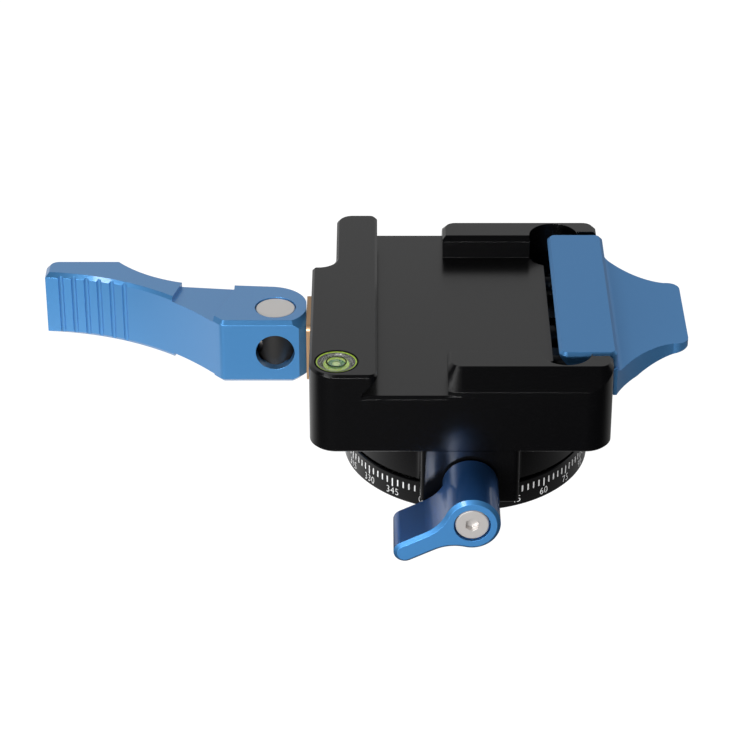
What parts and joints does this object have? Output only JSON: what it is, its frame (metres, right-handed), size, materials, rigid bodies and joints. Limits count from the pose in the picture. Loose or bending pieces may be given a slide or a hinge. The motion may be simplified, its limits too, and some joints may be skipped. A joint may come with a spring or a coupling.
{
  "type": "panning clamp",
  "caption": "Quick release clamp with a swinging cam lever, a sprung jaw with a finger tab and a round level, on a panning base with a degree scale and a wing lock knob",
  "frame": {"origin": "on the pan axis, at the bottom of the scale ring where it stands on a tripod or head", "axes": "+Z is the pan axis and points up, +X runs from the lever towards the moving jaw's finger tab, and the wing knob faces -Y"},
  "size_m": [0.1301, 0.0794, 0.0364],
  "materials": {
    "black_anodised": "satin black anodised",
    "blue_anodised": "satin blue anodised",
    "plain_steel": "turned and lightly polished",
    "black_steel": "black oxide",
    "bronze": "ground",
    "white_ptfe": "smooth",
    "clear_acrylic": "clear",
    "level_liquid": "yellow green fluid"
  },
  "bodies": {
    "base": {"scale_ring": "black_anodised", "reducer_bush": "plain_steel"},
    "clamp": {"pan_housing": "black_anodised", "glide_ring": "white_ptfe", "slip_disc": "white_ptfe", "housing_screws": "black_steel", "keeper_screws": "black_steel", "clamp_body": "black_anodised", "wear_plate": "bronze", "level_cup": "plain_steel", "level_liquid": "level_liquid", "level_lens": "clear_acrylic", "jaw_spring": "plain_steel"},
    "jaw": {"moving_jaw": "blue_anodised", "guide_pins": "plain_steel", "draw_screw": "plain_steel", "cross_pin": "plain_steel"},
    "lever": {"lever": "blue_anodised"},
    "brake": {"brake_shoe": "bronze"},
    "knob": {"pan_knob": "blue_anodised", "lock_stud": "plain_steel", "knob_screw": "plain_steel"}
  },
  "joints": [
    {"name": "pan", "type": "hinge", "parent": "base", "child": "clamp", "pos_m": [0, 0, 0.0125], "axis": [0, 0, 1], "continuous": true},
    {"name": "jaw_slide", "type": "slide", "parent": "clamp", "child": "jaw", "axis": [-1, 0, 0], "range_m": [0, 0.0022], "deforming": ["jaw_spring"]},
    {"name": "lever_turn", "type": "hinge", "parent": "jaw", "child": "lever", "pos_m": [-0.0387, 0, 0.0257], "axis": [0, 0, -1], "range_deg": [0, 86]},
    {"name": "brake_travel", "type": "slide", "parent": "clamp", "child": "brake", "axis": [0, -1, 0], "range_m": [0, 0.0005]},
    {"name": "knob_turn", "type": "hinge", "parent": "brake", "child": "knob", "pos_m": [0, -0.04, 0.011], "axis": [0, -1, 0], "range_deg": [0, 180]}
  ],
  "couplings": [
    {"joint": "jaw_slide", "follows": "lever_turn", "m_per_rad": 0.0014657},
    {"joint": "brake_travel", "follows": "knob_turn", "m_per_rad": 0.00015915}
  ]
}
